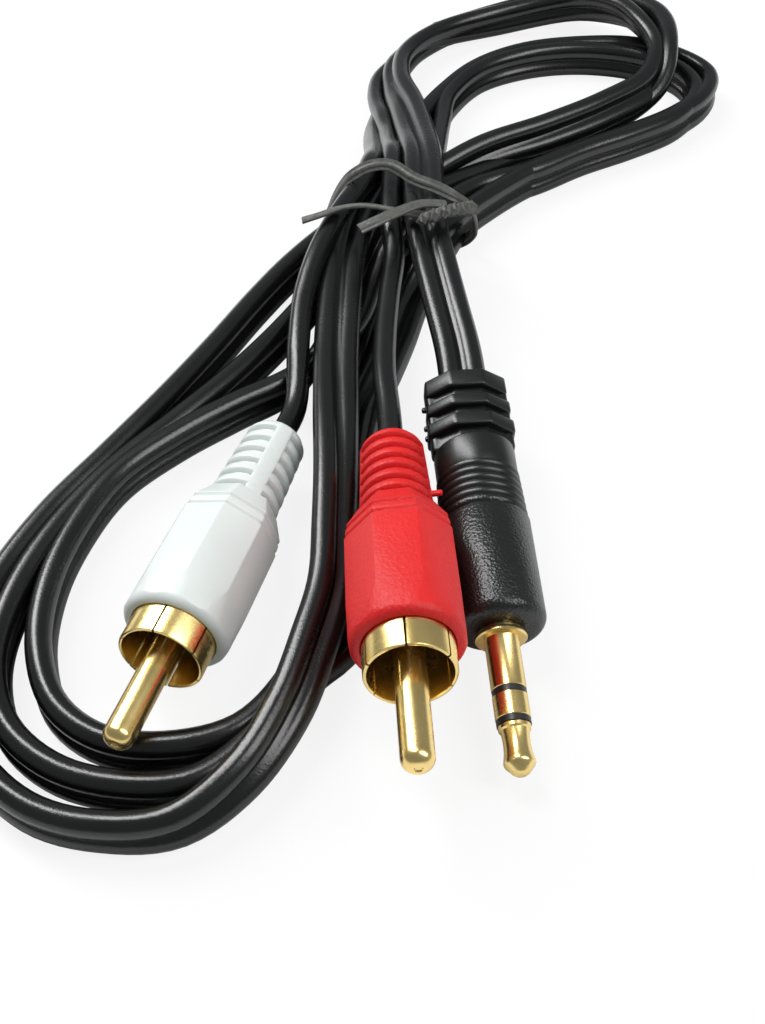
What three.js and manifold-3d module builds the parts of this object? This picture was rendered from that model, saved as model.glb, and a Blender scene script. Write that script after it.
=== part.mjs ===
// Stereo audio lead with one 3.5 mm jack and two phono plugs, its twin cable wound in a tied hank.
// Millimetres, +Z up, the surface that it lies on is z = 0.
import * as THREE from 'three';
import { mergeVertices } from 'three/addons/utils/BufferGeometryUtils.js';
import Module from 'manifold-3d';

const wasm = await Module();
wasm.setup();

// Driving dimensions
const CORE = 2.75;               // diameter of one insulated core
const GAP = 0.3;                 // clearance between neighbouring solids
const FIT = 0.05;                // radial fit of a metal piece in its moulding
const SIDES = 24;                // facets round a turned piece
const CENTRE = [4.97, 130.53];   // middle of the hank in route coordinates

const PHONO = {
  across: 11.2,                  // across the flats of the octagonal grip at its front
  acrossRear: 10.7,              // and at its rear
  shoulder: 10.2,                // across the flats at the rear of the grip
  grip: 15.2,                    // length of the grip
  neck: 2.7,                     // length of the taper behind the grip
  relief: 11.4,                  // length of the ribbed strain relief
  reliefBase: 7.8,               // strain relief diameter at the grip
  reliefEnd: 7.2,                // and at the lead
  ribs: 6,
  shell: 8.8,                    // outside diameter of the slotted shell
  wall: 0.4,
  reach: 3.2,                    // how far the shell stands out of the grip
  depth: 6,                      // how far the shell sits inside the grip
  slits: 6,
  slit: 0.35,
  pin: 3.2,                      // pin diameter
  pinReach: 13.4,                // pin tip beyond the grip
  pinRoot: 9,                    // pin inside the grip
};

const JACK = {
  barrel: 9.7,                   // barrel diameter
  barrelLength: 13,
  ridges: 5,
  ridgeBand: 5.8,                // length of the finely ridged band
  neck: 3,
  relief: 9.6,                   // length of the oval strain relief
  wide: 9.7,                     // oval width and height
  high: 6.8,
  flange: 5.6,
  flangeLength: 1.3,
  shaft: 3.5,
  shaftLength: 14,
  sleeveEnd: 5.1,                // ends of the sleeve and ring contacts beyond the flange
  ringEnd: 8.2,
  band: 0.9,                     // width of an insulating band
  rod: 1.1,                      // diameter of the tip's rod
  root: 6,                       // how far the contacts reach into the barrel
};

const TIE = { width: 1.6, thick: 0.5 };

// Poses of the plugs: middle of the front face, turn about Z, nose-up angle, roll about the axis
const RED = { at: [2.4, 66.5, 12.3], turn: 2.8, nose: 6, roll: 0 };
const WHITE = { at: [-20.5, 71.8, 7.1], turn: -17, nose: 3, roll: 0 };
const BLACK = { at: [11.8, 73.6, 4.95], turn: 4.5, nose: -6.5, roll: 0 };

const degrees = THREE.MathUtils.degToRad;

// Point on the axis of a plug at a distance behind its front face
function behind({ at, turn, nose }, distance) {
  const across = distance * Math.cos(degrees(nose));
  return [
    at[0] - across * Math.sin(degrees(turn)),
    at[1] + across * Math.cos(degrees(turn)),
    at[2] - distance * Math.sin(degrees(nose)),
  ];
}

const PHONO_LENGTH = PHONO.grip + PHONO.neck + PHONO.relief;
const JACK_LENGTH = JACK.barrelLength + JACK.ridgeBand + JACK.neck + JACK.relief;

// Route of the twin cable: x, y, z of its middle and its roll in degrees, flat at 0 and on edge at 90
const JACK_RUN = [
  [...behind(BLACK, JACK_LENGTH + GAP), 0], [...behind(BLACK, JACK_LENGTH + 6), 0],
  [7.7, 118, 10, 0], [6.6, 125, 10.6, 0], [5.6, 132.5, 11, 0],
  [4.8, 140, 11.1, 0], [3.8, 149, 10.5, 0],
];
const UPPER_1 = [
  [2.6, 158, 8.6, 10], [2.6, 167.5, 6.8, 20], [1.9, 178, 4.8, 35], [3.6, 189, 3.6, 50],
  [10.2, 197.4, 3.2, 65], [21.2, 201.7, 3.4, 80], [31.2, 201.1, 5.2, 80], [38.5, 196.2, 7.6, 60],
  [41.9, 188.9, 8.4, 50], [44.2, 181.3, 7.6, 50], [40.4, 174.3, 6.4, 55], [33, 168.1, 5.9, 60],
  [23.9, 162.6, 5.5, 65], [14.6, 157.8, 5.2, 75], [5.8, 151.8, 4, 90], [-0.4, 146.6, 3.6, 90],
];
const LOWER_A = [
  [-6.4, 140.6, 3.5, 90], [-11.9, 133.6, 3.1, 90], [-16.2, 126.5, 2.65, 90], [-20.5, 118, 2.65, 90],
  [-25.6, 108.6, 2.65, 90], [-31.2, 99.1, 2.65, 90], [-36.8, 89.6, 2.65, 90], [-40.6, 79.7, 2.65, 90],
  [-41.6, 69.2, 2.65, 90], [-38.6, 60.6, 2.65, 90], [-32.6, 55, 2.65, 90], [-25.9, 52.6, 2.65, 90],
  [-18.7, 53.5, 3.2, 97], [-12.9, 57.7, 4.6, 112], [-8.9, 64.5, 5.6, 130], [-6.7, 71.6, 6.3, 135],
  [-5.3, 78, 6.6, 135], [-5.1, 86, 7, 137], [-5.1, 94, 7.4, 142], [-5.3, 103, 7.6, 158],
  [-5.5, 113, 7.4, 172], [-5.3, 122, 7.7, 180], [-4.8, 131, 8, 180], [-3.2, 140, 7.8, 180],
  [0.8, 149, 7.3, 180],
];
const UPPER_3 = [
  [4.4, 157, 5.4, 168], [6, 166.6, 3.4, 130], [9.2, 175.3, 2.65, 95], [15.1, 183.4, 2.65, 90],
  [23, 188.3, 2.65, 90], [32.3, 190.3, 2.65, 90], [41.5, 190.8, 2.65, 90], [48.6, 187.9, 2.65, 90],
  [51.8, 182, 2.65, 90], [49.6, 175.6, 2.65, 90], [44.1, 169.7, 2.65, 90], [37, 164.9, 2.65, 90],
  [29.1, 160.2, 2.65, 90], [21.6, 155.2, 2.65, 90], [15.2, 149, 3.1, 90], [10.2, 142.6, 3.5, 85],
];
const LOWER_C = [
  [6.6, 136, 2.9, 50], [3.6, 129, 1.7, 5], [1.6, 121, 2, 0], [-0.4, 113, 3.4, 0], [-2.6, 105.5, 4.5, 0],
  [-3.9, 99, 4.3, 0], [-4.9, 93, 3, 0], [-5.1, 87, 1.7, 0], [-5.1, 79.8, 1.6, 10], [-7.1, 73.7, 2.6, 70],
  [-9.6, 68, 2.65, 90], [-13.7, 63.1, 2.65, 90], [-19.8, 61.2, 2.65, 90], [-26.3, 61.8, 2.65, 90],
  [-31.5, 65.5, 2.65, 90], [-34.4, 72.3, 2.65, 90], [-34.8, 80.2, 2.65, 90], [-33.2, 88, 2.65, 90],
  [-29.8, 95.8, 2.65, 90], [-23.8, 102.2, 2.65, 90], [-17.5, 107.2, 2.65, 90], [-11.3, 111.6, 2.9, 80],
  [-7, 116.8, 3.8, 40], [-4, 122.5, 4.5, 5], [-2.4, 129, 5, 0], [-0.2, 135.5, 6.6, 0],
  [2.9, 142, 7.7, 0], [5.2, 149.5, 7.1, 0],
];
const UPPER_2 = [
  [6.8, 158, 5.2, 40], [8.4, 167.1, 3.4, 70], [10.2, 175.1, 2.65, 90], [15.2, 182.6, 2.65, 90],
  [22.9, 187, 2.65, 90], [31.4, 188.5, 2.65, 90], [39.7, 187.1, 2.65, 90], [45.9, 183.4, 2.65, 90],
  [48.4, 178.2, 2.65, 90], [47.3, 173.5, 2.65, 90], [43.6, 168.7, 2.65, 90], [37, 164.3, 2.65, 90],
  [29, 159.9, 2.65, 90], [21.5, 154.9, 2.65, 90], [13.4, 151, 3.1, 90], [7.6, 144.9, 3.5, 90],
];
const LOWER_B = [
  [2.8, 138.6, 3.3, 75], [-0.8, 132.2, 2.1, 30], [-3, 125.5, 1.6, 0], [-4.3, 117.5, 1.5, 0],
  [-4.6, 109, 1.5, 0], [-3.4, 102, 1.5, 0], [-1.2, 95.5, 1.5, 0], [0.4, 89, 1.5, 0], [0.1, 82.5, 1.5, 0],
  [-3.3, 75.9, 1.8, 15], [-7.8, 69.3, 2.65, 90], [-12.3, 61.9, 2.65, 90], [-17.2, 57.7, 2.65, 90],
  [-23.2, 57, 2.65, 90], [-30.3, 58.7, 2.65, 90], [-35.8, 63.2, 2.65, 90], [-38.6, 70.2, 2.65, 90],
  [-38.2, 78.8, 2.65, 90], [-35.3, 87.8, 2.65, 90], [-30.5, 96.4, 2.65, 90], [-24.9, 104.5, 2.65, 90],
  [-19.2, 113, 2.65, 90], [-14.4, 121.2, 2.65, 90], [-9.8, 129, 2.9, 90], [-4.8, 136.6, 3.3, 90],
  [0.6, 143, 3.5, 90],
];
const UPPER_4 = [
  [6.2, 148.8, 3.2, 90], [12.6, 155.3, 2.6, 60], [20.4, 162, 2.2, 30], [28.2, 167, 2.2, 20],
  [36, 171.1, 3, 25], [42.4, 175.8, 5, 45], [45.2, 182.2, 8, 60], [45.4, 190.4, 8.2, 60],
  [42, 198, 6.8, 50], [35, 205, 4.4, 30], [25, 207.2, 2.2, 10], [14, 204.2, 1.5, 0], [4.2, 196, 1.5, 0],
  [-0.6, 186.5, 1.6, 10], [-1.6, 178, 2, 20], [-0.5, 170.2, 2.4, 0],
];
// Routes of the two single leads, from the split to their plugs
const WHITE_RUN = [
  [-1.75, 169.8, 2.4], [-2.5, 160, 4.0], [-3.6, 150, 7.2], [-5.0, 142, 10.2], [-6.6, 135.4, 10.4],
  [-8.5, 129, 9.6], [-9.7, 122, 8.3], [-10.1, 114.5, 7.2], behind(WHITE, PHONO_LENGTH + 6),
  behind(WHITE, PHONO_LENGTH + GAP),
];
const RED_RUN = [
  [1.15, 169.8, 2.4], [1.4, 160, 4.8], [-0.7, 151, 9.6], [-0.6, 143.5, 10.6], [1.0, 136, 10.0],
  [1.5, 129.5, 9.0], [0.8, 122, 8.4], [0.3, 114.5, 8.3], [0.2, 108, 8.4], behind(RED, PHONO_LENGTH + 6),
  behind(RED, PHONO_LENGTH + GAP),
];
// The twist tie: once round the waist, then the twist, then its two loose ends
const TIE_RING = [
  [-8.2, 138.8, 8.4], [-6.4, 142.0, 12.6], [-1.0, 145.2, 13.6], [4.0, 143.8, 13.3], [9.0, 139.2, 12.0],
  [12.6, 136.4, 8.4], [13.3, 137.6, 3.9], [10.6, 139.4, 1.0], [3.0, 141.4, 0.85], [-5.4, 142.4, 1.0],
  [-9.4, 140.0, 3.9],
];
const TIE_TWIST = [[11.6, 137.4, 10.4], [10.2, 134.4, 12.6], [7.4, 132.2, 13.6], [4.4, 130.6, 13.3]];
const TIE_END_1 = [
  [8.6, 133.2, 13.4], [3.4, 135.4, 13.8], [-1.4, 137.2, 13.6], [-6.0, 136.4, 13.2], [-10.2, 133.2, 12.4],
];
const TIE_END_2 = [[7.6, 132.6, 13.9], [3.0, 132.4, 14.6], [-2.2, 128.8, 14.2]];

const GOLD = { color: 0xc9a24a, roughness: 0.22, metalness: 1 };
const RED_PVC = { color: 0xc41a1f, roughness: 0.5, metalness: 0 };
const WHITE_PVC = { color: 0xcfd6da, roughness: 0.42, metalness: 0 };
const BLACK_PVC = { color: 0x121314, roughness: 0.35, metalness: 0 };
const TIE_PVC = { color: 0x23251f, roughness: 0.6, metalness: 0 };
const NYLON = { color: 0x2a1c14, roughness: 0.6, metalness: 0 };

// Closed geometry to a manifold solid, and back
function solidOf(geometry) {
  const bare = geometry.clone();
  bare.deleteAttribute('normal');
  bare.deleteAttribute('uv');
  const merged = mergeVertices(bare, 1e-4);
  return new wasm.Manifold(new wasm.Mesh({
    numProp: 3,
    vertProperties: new Float32Array(merged.attributes.position.array),
    triVerts: new Uint32Array(merged.index.array),
  }));
}

function geometryOf(solid) {
  const mesh = solid.getMesh();
  const geometry = new THREE.BufferGeometry();
  geometry.setAttribute('position', new THREE.BufferAttribute(mesh.vertProperties, 3));
  geometry.setIndex(new THREE.BufferAttribute(mesh.triVerts, 1));
  geometry.computeVertexNormals();
  return geometry;
}

const joined = (solids) => solids.reduce((all, one) => all.add(one));

// Turned piece about Y from [radius, y] pairs that start and end on the axis, listed upwards
function turned(profile, sides = SIDES) {
  return new THREE.LatheGeometry(profile.map(([r, y]) => new THREE.Vector2(r, y)), sides);
}

function ringOf(inner, outer, low, high, sides = SIDES) {
  return turned([[inner, low], [outer, low], [outer, high], [inner, high], [inner, low]], sides);
}

function plainRod(radius, low, high, sides = SIDES) {
  return turned([[0, low], [radius, low], [radius, high], [0, high]], sides);
}

function boxAt(width, length, height, x, y, z) {
  return new THREE.BoxGeometry(width, length, height).translate(x, y, z);
}

// Curve that also says how far a flat section is rolled along it
class RolledCurve extends THREE.Curve {
  constructor(route, first = 0, last = route.length - 1) {
    super();
    this.route = route;
    this.first = first;
    this.last = last;
    this.line = new THREE.CatmullRomCurve3(
      route.map(([x, y, z]) => new THREE.Vector3(x - CENTRE[0], y - CENTRE[1], z)), false, 'centripetal');
  }

  place(t) {
    return this.first + (this.last - this.first) * t;
  }

  getPoint(t, target = new THREE.Vector3()) {
    return this.line.getPoint(this.place(t) / (this.route.length - 1), target);
  }

  rollAt(t) {
    const place = this.place(t);
    const before = Math.min(Math.floor(place), this.route.length - 2);
    const [from, to] = [this.route[before][3] ?? 0, this.route[before + 1][3] ?? 0];
    return degrees(from + (to - from) * (place - before));
  }

  computeFrenetFrames(segments) {
    const frames = { tangents: [], normals: [], binormals: [] };
    for (let i = 0; i <= segments; i += 1) {
      const t = this.getUtoTmapping(i / segments);
      const along = this.getTangent(t);
      const side = new THREE.Vector3().crossVectors(along, new THREE.Vector3(0, 0, 1)).normalize();
      const up = new THREE.Vector3().crossVectors(side, along);
      const roll = this.rollAt(t);
      const wide = side.multiplyScalar(Math.cos(roll)).addScaledVector(up, Math.sin(roll));
      frames.tangents.push(along);
      frames.normals.push(wide);
      frames.binormals.push(new THREE.Vector3().crossVectors(along, wide));
    }
    return frames;
  }
}

// Outline with two round ends, its flats "length" apart in x beyond a circle of the given radius
function ovalShape(radius, length, quarter = 2) {
  const points = [];
  for (let i = -quarter; i <= quarter; i += 1) {
    const angle = (i / quarter) * Math.PI / 2;
    points.push(new THREE.Vector2(length / 2 + radius * Math.cos(angle), radius * Math.sin(angle)));
  }
  const mirrored = points.map((p) => new THREE.Vector2(-p.x, -p.y));
  return new THREE.Shape([...points, ...mirrored]);
}

function roundShape(radius, sides = 8) {
  const corner = (i) => 2 * Math.PI * (i + 0.5) / sides;
  return new THREE.Shape(Array.from({ length: sides }, (unused, i) => (
    new THREE.Vector2(radius * Math.cos(corner(i)), radius * Math.sin(corner(i))))));
}

function swept(shape, curve, steps) {
  return new THREE.ExtrudeGeometry(shape, { steps, extrudePath: curve, curveSegments: 4 });
}

const twinShape = (grow = 0) => ovalShape(CORE / 2 + grow, CORE);
const leadShape = (grow = 0) => roundShape(CORE / 2 + grow);
const tieShape = (grow = 0) => ovalShape(TIE.thick / 2 + grow, TIE.width - TIE.thick, 1);

const object = new THREE.Group();

function plugGroup({ at, turn, nose, roll }) {
  const group = new THREE.Group();
  group.rotation.set(degrees(nose), degrees(roll), degrees(180 + turn), 'ZXY');
  group.position.set(at[0] - CENTRE[0], at[1] - CENTRE[1], at[2]);
  group.updateMatrix();
  object.add(group);
  return group;
}

const redPlug = plugGroup(RED);
const whitePlug = plugGroup(WHITE);
const jackPlug = plugGroup(BLACK);

// Hank of the twin cable

const TWIN_RUNS = [JACK_RUN, UPPER_1, LOWER_A, UPPER_3, LOWER_C, UPPER_2, LOWER_B, UPPER_4];
const TWIN_ROUTE = TWIN_RUNS.flat();
const HANK_START = JACK_RUN.length - 1.6;

function hankStretches() {
  const starts = [];
  let count = 0;
  for (const run of TWIN_RUNS) {
    starts.push(count);
    count += run.length;
  }
  const ends = starts.slice(1).concat(count - 1);
  return starts.map((start, i) => [Math.max(start, HANK_START), Math.min(ends[i] + 0.15, count - 1)]);
}

function tieSolid(grow) {
  const ring = new THREE.CatmullRomCurve3(
    TIE_RING.map(([x, y, z]) => new THREE.Vector3(x - CENTRE[0], y - CENTRE[1], z)), true, 'centripetal');
  const ribbon = (route, steps) => solidOf(swept(tieShape(grow), new RolledCurve(route), steps));
  return joined([
    solidOf(swept(roundShape(TIE.width / 2 - 0.2 + grow, 6), ring, 36)),
    solidOf(swept(roundShape(TIE.width / 2 + grow, 8), new RolledCurve(TIE_TWIST), 8)),
    ribbon(TIE_END_1, 10),
    ribbon(TIE_END_2, 6),
  ]);
}

// Room that the plugs need where the hank passes below and beside them
function plugRooms() {
  const rodAt = (group, radius, low, high) => (
    solidOf(plainRod(radius, low, high, 16).applyMatrix4(group.matrix)));
  const grip = PHONO.across / 2 / Math.cos(Math.PI / 8) + 0.1;
  const rear = -PHONO.grip - PHONO.neck;
  const jackRear = -JACK.barrelLength - JACK.ridgeBand;
  return [
    ...[redPlug, whitePlug].flatMap((plug) => [
      rodAt(plug, grip, rear - 0.2, 0.3),
      rodAt(plug, PHONO.reliefBase / 2 + GAP, rear - PHONO.relief - GAP, rear),
    ]),
    rodAt(jackPlug, JACK.barrel / 2 + GAP, jackRear - 0.2, 0.3),
    rodAt(jackPlug, JACK.wide / 2 + GAP, jackRear - JACK.neck - JACK.relief - GAP, jackRear),
  ];
}

function hankSolid() {
  const loops = hankStretches().map(([from, to]) => (
    solidOf(swept(twinShape(0.08), new RolledCurve(TWIN_ROUTE, from, to), Math.ceil(to - from)))));
  const below = solidOf(boxAt(200, 300, 20, 0, 0, -10));
  const cuts = [
    solidOf(swept(leadShape(GAP), new RolledCurve(WHITE_RUN), 14)),
    solidOf(swept(leadShape(GAP), new RolledCurve(RED_RUN), 14)),
    solidOf(swept(twinShape(GAP), new RolledCurve(TWIN_ROUTE, 0, HANK_START), 8)),
    tieSolid(GAP),
    ...plugRooms(),
    below,
  ];
  return cuts.reduce((hank, cut) => hank.subtract(cut), joined(loops));
}

// Phono plug, with Y along its axis towards the pin and y = 0 at the front of the grip

function octagonPrism(across, low, high, acrossLow = across) {
  const radius = (width) => width / 2 / Math.cos(Math.PI / 8);
  const prism = new THREE.CylinderGeometry(radius(across), radius(acrossLow), high - low, 8);
  return prism.rotateY(Math.PI / 8).translate(0, (low + high) / 2, 0);
}

function phonoMoulding() {
  const p = PHONO;
  const [gripRear, neckRear] = [-p.grip, -p.grip - p.neck];
  const end = neckRear - p.relief;
  const pitch = p.relief / p.ribs;
  const widthAt = (y) => p.across + (p.acrossRear - p.across) * (-y / p.grip);
  const parts = [
    octagonPrism(p.across - 1, -0.9, 0, widthAt(-0.9)),
    octagonPrism(widthAt(-0.85), gripRear + 4.2, -0.85, widthAt(gripRear + 4.2)),
    octagonPrism(p.acrossRear - 0.5, gripRear + 3.7, gripRear + 4.3),
    octagonPrism(widthAt(gripRear + 3.8), gripRear + 2.4, gripRear + 3.8),
    octagonPrism(p.acrossRear - 0.5, gripRear + 1.9, gripRear + 2.5),
    octagonPrism(p.acrossRear, gripRear + 1.2, gripRear + 2),
    octagonPrism(p.acrossRear, gripRear, gripRear + 1.25, p.shoulder),
    octagonPrism(p.shoulder, neckRear, gripRear + 0.05, p.reliefBase),
  ];
  const core = turned([[0, end], [p.reliefEnd / 2 - 0.7, end], [p.reliefBase / 2 - 0.7, neckRear + 0.5], [0, neckRear + 0.5]]);
  parts.push(core);
  for (let i = 0; i < p.ribs; i += 1) {
    const low = end + i * pitch;
    const radius = p.reliefEnd / 2 + (p.reliefBase - p.reliefEnd) / 2 * (i / (p.ribs - 1));
    parts.push(turned([[0, low], [radius - 0.15, low], [radius, low + 0.2], [radius, low + pitch * 0.55],
      [radius - 0.15, low + pitch * 0.62], [0, low + pitch * 0.62]]));
  }
  for (const side of [-1, 1]) {
    const spine = boxAt(1, p.relief + 0.4, 1.6, side * (p.reliefEnd / 2 - 0.55), end + p.relief / 2 + 0.2, 0);
    parts.push(spine);
  }
  const seat = ringOf(p.shell / 2 - p.wall - FIT, p.shell / 2 + FIT, -p.depth - FIT, 1);
  const cavity = plainRod(p.shell / 2 - p.wall, -3, 1);
  const insulatorSeat = plainRod(p.shell / 2 - p.wall, -p.depth - FIT, -2.9);
  const pinSeat = plainRod(p.pin / 2 + FIT, -p.pinRoot - FIT, -p.depth);
  const body = joined(parts.map(solidOf));
  return [seat, cavity, insulatorSeat, pinSeat].map(solidOf).reduce((left, cut) => left.subtract(cut), body);
}

function phonoShell() {
  const p = PHONO;
  const tube = ringOf(p.shell / 2 - p.wall, p.shell / 2, -p.depth, p.reach, 36);
  const slitLength = p.reach + 3;
  let shell = solidOf(tube);
  for (let i = 0; i < p.slits; i += 1) {
    const slit = boxAt(p.slit, slitLength, 2, 0, p.reach - slitLength / 2 + 0.01, p.shell / 2);
    shell = shell.subtract(solidOf(slit.rotateY(2 * Math.PI * i / p.slits)));
  }
  return shell;
}

function phonoInsulator() {
  const p = PHONO;
  return ringOf(p.pin / 2 + FIT, p.shell / 2 - p.wall - FIT, -p.depth + 0.2, -3);
}

function phonoPin() {
  const p = PHONO;
  const radius = p.pin / 2;
  const profile = [[0, -p.pinRoot], [radius, -p.pinRoot], [radius, p.pinReach - 1]];
  for (let i = 1; i <= 4; i += 1) {
    const angle = i * Math.PI / 8;
    profile.push([radius - 0.95 + 0.95 * Math.cos(angle), p.pinReach - 1 + Math.sin(angle)]);
  }
  profile.push([0, p.pinReach]);
  return turned(profile);
}

// Jack, with Y along its axis towards the tip and y = 0 at the front of the barrel

function ovalPlate(wide, high, low, top) {
  const shape = ovalShape(high / 2, wide - high, 3);
  const plate = new THREE.ExtrudeGeometry(shape, { depth: top - low, bevelEnabled: false });
  return plate.rotateX(-Math.PI / 2).translate(0, low, 0);
}

function jackMoulding() {
  const j = JACK;
  const radius = j.barrel / 2;
  const bandRear = -j.barrelLength - j.ridgeBand;
  const neckRear = bandRear - j.neck;
  const end = neckRear - j.relief;
  const profile = [[0, neckRear], [radius - 0.5, neckRear], [radius - 0.45, bandRear]];
  const pitch = j.ridgeBand / j.ridges;
  for (let i = 0; i < j.ridges; i += 1) {
    const low = bandRear + i * pitch;
    profile.push([radius - 0.5, low + 0.1], [radius - 0.15, low + 0.4], [radius - 0.15, low + pitch - 0.3],
      [radius - 0.5, low + pitch - 0.05]);
  }
  profile.push([radius, -j.barrelLength + 0.3], [radius, -1.2], [radius - 0.9, 0], [0, 0]);
  const parts = [turned(profile, 32), ovalPlate(7.4, 5, end, neckRear + 0.4)];
  const ribs = 4;
  const step = j.relief / (ribs - 0.35);
  for (let i = 0; i < ribs; i += 1) {
    const low = end + i * step;
    const top = Math.min(low + step * 0.65, neckRear + 0.4);
    const shrink = 0.5 * (1 - i / (ribs - 1));
    parts.push(ovalPlate(j.wide - shrink, j.high - shrink / 2, low, top));
  }
  parts.push(boxAt(1.2, j.relief, 2, -j.wide / 2 + 1.2, end + j.relief / 2, 0));
  const seats = [
    plainRod(j.flange / 2 - 0.6 + FIT, -j.root - FIT, 1),
  ];
  return seats.map(solidOf).reduce((left, cut) => left.subtract(cut), joined(parts.map(solidOf)));
}

function jackSleeve() {
  const j = JACK;
  const [inside, outside] = [j.shaft / 2 - 0.45, j.shaft / 2];
  const front = j.flangeLength + j.sleeveEnd;
  return turned([
    [inside, -j.root], [j.flange / 2 - 0.6, -j.root], [j.flange / 2 - 0.6, GAP], [j.flange / 2, GAP + 0.1],
    [j.flange / 2, j.flangeLength - 0.2], [j.flange / 2 - 0.25, j.flangeLength], [outside, j.flangeLength],
    [outside, front], [inside, front], [inside, -j.root]]);
}

function jackBand(start) {
  return ringOf(JACK.rod / 2 + FIT, JACK.shaft / 2 - 0.04, start + FIT, start + JACK.band - FIT);
}

function jackRing() {
  const start = JACK.flangeLength + JACK.sleeveEnd + JACK.band;
  const stop = JACK.flangeLength + JACK.ringEnd;
  return ringOf(JACK.rod / 2 + FIT, JACK.shaft / 2, start, stop);
}

function jackTip() {
  const j = JACK;
  const [rod, radius] = [j.rod / 2, j.shaft / 2];
  const start = j.flangeLength + j.ringEnd + j.band;
  const tip = j.flangeLength + j.shaftLength;
  const along = (part) => start + (tip - start) * part;
  return turned([
    [0, 0.1 - j.root], [rod, 0.1 - j.root], [rod, start], [radius - 0.15, start], [radius - 0.2, along(0.1)],
    [radius - 0.6, along(0.35)], [radius - 0.55, along(0.41)], [radius - 0.05, along(0.57)],
    [radius - 0.03, along(0.63)], [radius - 0.85, along(0.95)], [radius - 1.25, tip], [0, tip]]);
}

function jackInsulator() {
  return ringOf(JACK.rod / 2 + FIT, JACK.shaft / 2 - 0.45 - FIT, 0.5 - JACK.root,
    JACK.flangeLength + JACK.sleeveEnd - FIT);
}

// Assembly

function addMesh(group, name, geometry, look) {
  const mesh = new THREE.Mesh(geometry, new THREE.MeshStandardMaterial(look));
  mesh.name = name;
  group.add(mesh);
}

function addPhono(colour, group, look) {
  addMesh(group, `${colour}_plug_moulding`, geometryOf(phonoMoulding()), look);
  addMesh(group, `${colour}_plug_shell`, geometryOf(phonoShell()), GOLD);
  addMesh(group, `${colour}_plug_insulator`, phonoInsulator(), NYLON);
  addMesh(group, `${colour}_plug_pin`, phonoPin(), GOLD);
}

function addJack() {
  const group = jackPlug;
  const rearBand = JACK.flangeLength + JACK.sleeveEnd;
  const frontBand = JACK.flangeLength + JACK.ringEnd;
  addMesh(group, 'jack_moulding', geometryOf(jackMoulding()), BLACK_PVC);
  addMesh(group, 'jack_sleeve', jackSleeve(), GOLD);
  addMesh(group, 'jack_rear_band', jackBand(rearBand), NYLON);
  addMesh(group, 'jack_ring', jackRing(), GOLD);
  addMesh(group, 'jack_front_band', jackBand(frontBand), NYLON);
  addMesh(group, 'jack_tip', jackTip(), GOLD);
  addMesh(group, 'jack_core_insulator', jackInsulator(), NYLON);
}

function addCable() {
  addMesh(object, 'cable_hank', geometryOf(hankSolid()), BLACK_PVC);
  addMesh(object, 'jack_lead', swept(twinShape(), new RolledCurve(TWIN_ROUTE, 0, HANK_START - 0.04), 7), BLACK_PVC);
  addMesh(object, 'white_lead', swept(leadShape(), new RolledCurve(WHITE_RUN), 14), BLACK_PVC);
  addMesh(object, 'red_lead', swept(leadShape(), new RolledCurve(RED_RUN), 14), BLACK_PVC);
  addMesh(object, 'twist_tie', geometryOf(tieSolid(0)), TIE_PVC);
}

addPhono('red', redPlug, RED_PVC);
addPhono('white', whitePlug, WHITE_PVC);
addJack();
addCable();

export default object;
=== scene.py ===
# %% [markdown]
# A stereo audio lead: one 3.5 mm jack, two phono plugs, and a twin cable wound in a tied hank.
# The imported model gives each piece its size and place. This file replaces the plain solids with
# finer pieces and gives every surface its finish.

# %% Load the frame
import math

import bpy
from mathutils import Matrix, Vector


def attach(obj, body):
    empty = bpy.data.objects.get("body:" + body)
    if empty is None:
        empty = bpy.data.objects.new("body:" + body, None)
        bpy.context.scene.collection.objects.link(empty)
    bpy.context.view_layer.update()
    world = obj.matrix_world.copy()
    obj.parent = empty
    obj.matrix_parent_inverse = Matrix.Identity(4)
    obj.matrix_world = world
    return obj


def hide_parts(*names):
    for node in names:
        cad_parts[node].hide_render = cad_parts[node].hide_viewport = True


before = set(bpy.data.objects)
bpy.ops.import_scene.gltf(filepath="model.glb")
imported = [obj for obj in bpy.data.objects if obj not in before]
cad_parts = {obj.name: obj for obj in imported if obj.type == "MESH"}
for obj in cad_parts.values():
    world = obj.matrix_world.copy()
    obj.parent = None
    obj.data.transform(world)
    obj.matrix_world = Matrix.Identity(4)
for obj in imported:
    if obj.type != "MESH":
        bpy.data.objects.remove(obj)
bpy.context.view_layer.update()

# %% [markdown]
# Every measurement below is in millimetres as on the bench, with x and y counted from the point
# under the camera. The model's own origin is the middle of the hank, and Blender wants metres,
# so one small function brings a bench point into the model.

# %% Bench millimetres to model metres
MM = 0.001
HANK_MIDDLE = (4.97, 130.53)


def bench(x, y, z):
    return Vector(((x - HANK_MIDDLE[0]) * MM, (y - HANK_MIDDLE[1]) * MM, z * MM))


print("origin in bench millimetres:", HANK_MIDDLE)

# %% [markdown]
# The photograph looks down on the lead from above its plug end. A camera 108 mm over the table,
# tipped 49 degrees below the horizon, puts the jack and both plugs where the picture has them.
# The lens follows from the picture's height in pixels.

# %% Camera
PICTURE_HEIGHT = 1024
FOCAL_PIXELS = 1258
LOOKING_DOWN = 49
CAMERA_HEIGHT = 108
SENSOR = 36

lens_data = bpy.data.cameras.new("camera")
lens_data.sensor_width = SENSOR
lens_data.lens = FOCAL_PIXELS / PICTURE_HEIGHT * SENSOR
lens_data.clip_start = 0.005
camera = bpy.data.objects.new("camera", lens_data)
camera.location = bench(0, 0, CAMERA_HEIGHT)
camera.rotation_euler = (math.radians(90 - LOOKING_DOWN), 0, 0)
bpy.context.collection.objects.link(camera)
bpy.context.scene.camera = camera
print("lens", round(lens_data.lens, 1), "mm")

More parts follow.
